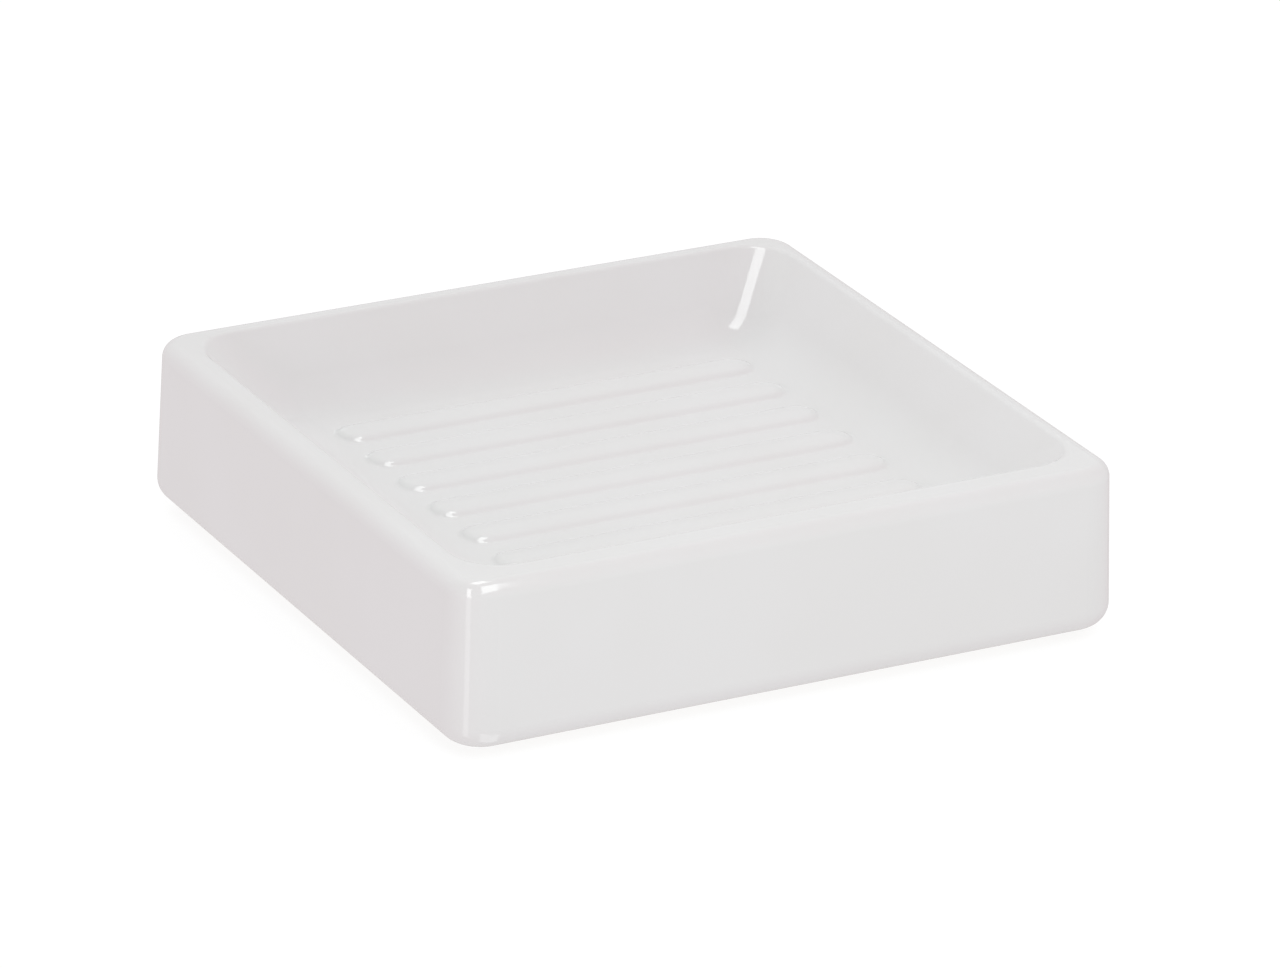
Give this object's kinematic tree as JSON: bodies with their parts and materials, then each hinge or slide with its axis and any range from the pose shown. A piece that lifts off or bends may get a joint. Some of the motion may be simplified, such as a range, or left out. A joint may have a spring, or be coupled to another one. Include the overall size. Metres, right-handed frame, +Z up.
{
  "type": "soap dish",
  "caption": "Square glazed ceramic soap dish with a sloped basin, raised drain ribs, a hollow underside and soft feet that keep it from sliding.",
  "frame": {"origin": "centre of the dish's footprint, at the level of the surface that its feet stand on", "axes": "+Z up out of the basin, +X to the right along the drain ribs, -Y towards the front face"},
  "size_m": [0.12, 0.12, 0.03],
  "materials": {
    "porcelain": "gloss glaze, off-white",
    "silicone": "satin, slightly milky",
    "adhesive": "matt film"
  },
  "bodies": {
    "root": {"ceramic_dish": "porcelain", "foot_front_left": "silicone", "foot_front_right": "silicone", "foot_back_left": "silicone", "foot_back_right": "silicone", "adhesive_front_left": "adhesive", "adhesive_front_right": "adhesive", "adhesive_back_left": "adhesive", "adhesive_back_right": "adhesive"}
  },
  "joints": []
}
